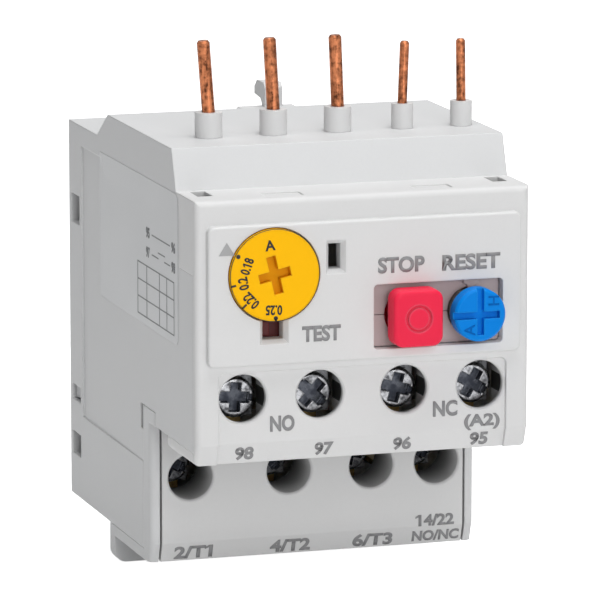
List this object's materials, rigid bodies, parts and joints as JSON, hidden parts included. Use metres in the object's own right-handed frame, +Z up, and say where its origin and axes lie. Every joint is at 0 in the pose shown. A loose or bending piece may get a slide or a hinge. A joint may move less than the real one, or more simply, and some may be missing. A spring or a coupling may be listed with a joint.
{
  "type": "thermal overload relay",
  "caption": "Plug-in thermal overload relay that hangs from a contactor by copper pins and a hook, with a setting dial, stop and reset buttons and recessed screw terminals.",
  "frame": {"origin": "middle of the top seat, on the line of the plug-in pins", "axes": "+Z up along the pins, -Y out of the front with the dial and buttons, +X to the right seen from the front"},
  "size_m": [0.045, 0.0651, 0.0734],
  "materials": {
    "bimetal": "rolled bimetal strip",
    "brass_strip": "stamped brass strip",
    "contact_silver": "silvered contact strip",
    "cover_plastic": "light grey moulded polyamide, fine satin grain",
    "dial_yellow": "satin yellow moulded plastic",
    "guide_plastic": "light grey moulded polyamide",
    "heater_strip": "resistance ribbon",
    "housing_plastic": "light grey moulded polyamide, fine satin grain",
    "inner_plastic": "off-white moulded plastic",
    "pin_copper": "bare drawn copper wire, lightly oxidised",
    "reset_blue": "satin blue moulded plastic",
    "sleeve_plastic": "near-white moulded plastic",
    "slider_red": "dark red moulded plastic",
    "spring_steel": "bright spring steel wire",
    "stop_red": "satin red moulded plastic",
    "zinc_steel": "zinc plated steel, dull and slightly dark"
  },
  "bodies": {
    "housing": {"aux_pin": "pin_copper", "aux_pin_sleeves": "sleeve_plastic", "bimetal_strips": "bimetal", "button_frame": "inner_plastic", "coil_link": "brass_strip", "coil_pin": "pin_copper", "front_cover": "cover_plastic", "heater_leads": "brass_strip", "heater_windings": "heater_strip", "lever_bracket": "inner_plastic", "load_pin_1": "pin_copper", "load_pin_2": "pin_copper", "load_pin_3": "pin_copper", "load_pin_sleeves": "sleeve_plastic", "load_terminal_no": "brass_strip", "load_terminal_t1": "brass_strip", "load_terminal_t2": "brass_strip", "load_terminal_t3": "brass_strip", "lower_button_guide": "guide_plastic", "lower_frame": "housing_plastic", "lower_panel": "housing_plastic", "main_housing": "housing_plastic", "rear_cover": "housing_plastic", "reset_spring": "spring_steel", "stop_spring": "spring_steel", "suspension_hook": "cover_plastic", "terminal_95": "brass_strip", "terminal_96": "brass_strip", "terminal_97": "brass_strip", "terminal_98": "brass_strip", "through_link": "brass_strip", "upper_button_guide": "guide_plastic"},
    "dial": {"setting_dial": "dial_yellow", "dial_cam": "inner_plastic"},
    "stop": {"stop_button": "stop_red"},
    "plunger": {"reset_plunger": "inner_plastic"},
    "knob": {"reset_knob": "reset_blue"},
    "trip": {"trip_slider": "slider_red", "contact_carrier": "inner_plastic", "moving_contacts": "contact_silver"},
    "comb": {"push_slide": "inner_plastic"},
    "lever": {"compensating_lever": "inner_plastic"},
    "clamp_98_body": {"clamp_98": "zinc_steel"},
    "screw_98_body": {"screw_98": "zinc_steel"},
    "clamp_97_body": {"clamp_97": "zinc_steel"},
    "screw_97_body": {"screw_97": "zinc_steel"},
    "clamp_96_body": {"clamp_96": "zinc_steel"},
    "screw_96_body": {"screw_96": "zinc_steel"},
    "clamp_95_body": {"clamp_95": "zinc_steel"},
    "screw_95_body": {"screw_95": "zinc_steel"},
    "clamp_t1_body": {"clamp_t1": "zinc_steel"},
    "screw_t1_body": {"screw_t1": "zinc_steel"},
    "clamp_t2_body": {"clamp_t2": "zinc_steel"},
    "screw_t2_body": {"screw_t2": "zinc_steel"},
    "clamp_t3_body": {"clamp_t3": "zinc_steel"},
    "screw_t3_body": {"screw_t3": "zinc_steel"},
    "clamp_no_body": {"clamp_no": "zinc_steel"},
    "screw_no_body": {"screw_no": "zinc_steel"}
  },
  "joints": [
    {"name": "dial_turn", "type": "hinge", "parent": "housing", "child": "dial", "pos_m": [-0.0123, -0.01855, -0.015], "axis": [0, 1, 0], "range_deg": [0, 118]},
    {"name": "stop_press", "type": "slide", "parent": "housing", "child": "stop", "axis": [0, 1, 0], "range_m": [0, 0.0014], "stiffness_N_per_m": 400, "deforming": ["stop_spring"]},
    {"name": "reset_press", "type": "slide", "parent": "housing", "child": "plunger", "axis": [0, 1, 0], "range_m": [0, 0.0016], "stiffness_N_per_m": 400, "deforming": ["reset_spring"]},
    {"name": "reset_select", "type": "hinge", "parent": "plunger", "child": "knob", "pos_m": [0.0145, -0.02055, -0.0212], "axis": [0, 1, 0], "range_deg": [0, 90]},
    {"name": "trip_travel", "type": "slide", "parent": "housing", "child": "trip", "axis": [1, 0, 0], "range_m": [0, 0.0016]},
    {"name": "comb_travel", "type": "slide", "parent": "housing", "child": "comb", "axis": [1, 0, 0], "range_m": [0, 0.0012], "stiffness_N_per_m": 60},
    {"name": "lever_swing", "type": "hinge", "parent": "housing", "child": "lever", "pos_m": [0.016, 0.01545, -0.0155], "axis": [0, 0, 1], "range_deg": [-6, 0]},
    {"name": "clamp_98_travel", "type": "slide", "parent": "housing", "child": "clamp_98_body", "axis": [0, 1, 0], "range_m": [0, 0.003]},
    {"name": "screw_98_turn", "type": "hinge", "parent": "clamp_98_body", "child": "screw_98_body", "pos_m": [-0.01605, -0.01465, -0.0316], "axis": [0, 1, 0], "range_deg": [0, 2161]},
    {"name": "clamp_97_travel", "type": "slide", "parent": "housing", "child": "clamp_97_body", "axis": [0, 1, 0], "range_m": [0, 0.003]},
    {"name": "screw_97_turn", "type": "hinge", "parent": "clamp_97_body", "child": "screw_97_body", "pos_m": [-0.0057, -0.01465, -0.0316], "axis": [0, 1, 0], "range_deg": [0, 2161]},
    {"name": "clamp_96_travel", "type": "slide", "parent": "housing", "child": "clamp_96_body", "axis": [0, 1, 0], "range_m": [0, 0.003]},
    {"name": "screw_96_turn", "type": "hinge", "parent": "clamp_96_body", "child": "screw_96_body", "pos_m": [0.0057, -0.01465, -0.0316], "axis": [0, 1, 0], "range_deg": [0, 2161]},
    {"name": "clamp_95_travel", "type": "slide", "parent": "housing", "child": "clamp_95_body", "axis": [0, 1, 0], "range_m": [0, 0.003]},
    {"name": "screw_95_turn", "type": "hinge", "parent": "clamp_95_body", "child": "screw_95_body", "pos_m": [0.01605, -0.01465, -0.0316], "axis": [0, 1, 0], "range_deg": [0, 2161]},
    {"name": "clamp_t1_travel", "type": "slide", "parent": "housing", "child": "clamp_t1_body", "axis": [0, 1, 0], "range_m": [0, 0.003]},
    {"name": "screw_t1_turn", "type": "hinge", "parent": "clamp_t1_body", "child": "screw_t1_body", "pos_m": [-0.01694, 0.01235, -0.04566], "axis": [0, 1, 0], "range_deg": [0, 2161]},
    {"name": "clamp_t2_travel", "type": "slide", "parent": "housing", "child": "clamp_t2_body", "axis": [0, 1, 0], "range_m": [0, 0.003]},
    {"name": "screw_t2_turn", "type": "hinge", "parent": "clamp_t2_body", "child": "screw_t2_body", "pos_m": [-0.00337, 0.01235, -0.04566], "axis": [0, 1, 0], "range_deg": [0, 2161]},
    {"name": "clamp_t3_travel", "type": "slide", "parent": "housing", "child": "clamp_t3_body", "axis": [0, 1, 0], "range_m": [0, 0.003]},
    {"name": "screw_t3_turn", "type": "hinge", "parent": "clamp_t3_body", "child": "screw_t3_body", "pos_m": [0.00809, 0.01235, -0.04566], "axis": [0, 1, 0], "range_deg": [0, 2161]},
    {"name": "clamp_no_travel", "type": "slide", "parent": "housing", "child": "clamp_no_body", "axis": [0, 1, 0], "range_m": [0, 0.003]},
    {"name": "screw_no_turn", "type": "hinge", "parent": "clamp_no_body", "child": "screw_no_body", "pos_m": [0.0172, 0.01235, -0.04566], "axis": [0, 1, 0], "range_deg": [0, 2161]}
  ],
  "couplings": [
    {"joint": "lever_swing", "follows": "comb_travel", "rad_per_m": -82.5},
    {"joint": "screw_98_turn", "follows": "clamp_98_travel", "rad_per_m": 12566},
    {"joint": "screw_97_turn", "follows": "clamp_97_travel", "rad_per_m": 12566},
    {"joint": "screw_96_turn", "follows": "clamp_96_travel", "rad_per_m": 12566},
    {"joint": "screw_95_turn", "follows": "clamp_95_travel", "rad_per_m": 12566},
    {"joint": "screw_t1_turn", "follows": "clamp_t1_travel", "rad_per_m": 12566},
    {"joint": "screw_t2_turn", "follows": "clamp_t2_travel", "rad_per_m": 12566},
    {"joint": "screw_t3_turn", "follows": "clamp_t3_travel", "rad_per_m": 12566},
    {"joint": "screw_no_turn", "follows": "clamp_no_travel", "rad_per_m": 12566}
  ]
}
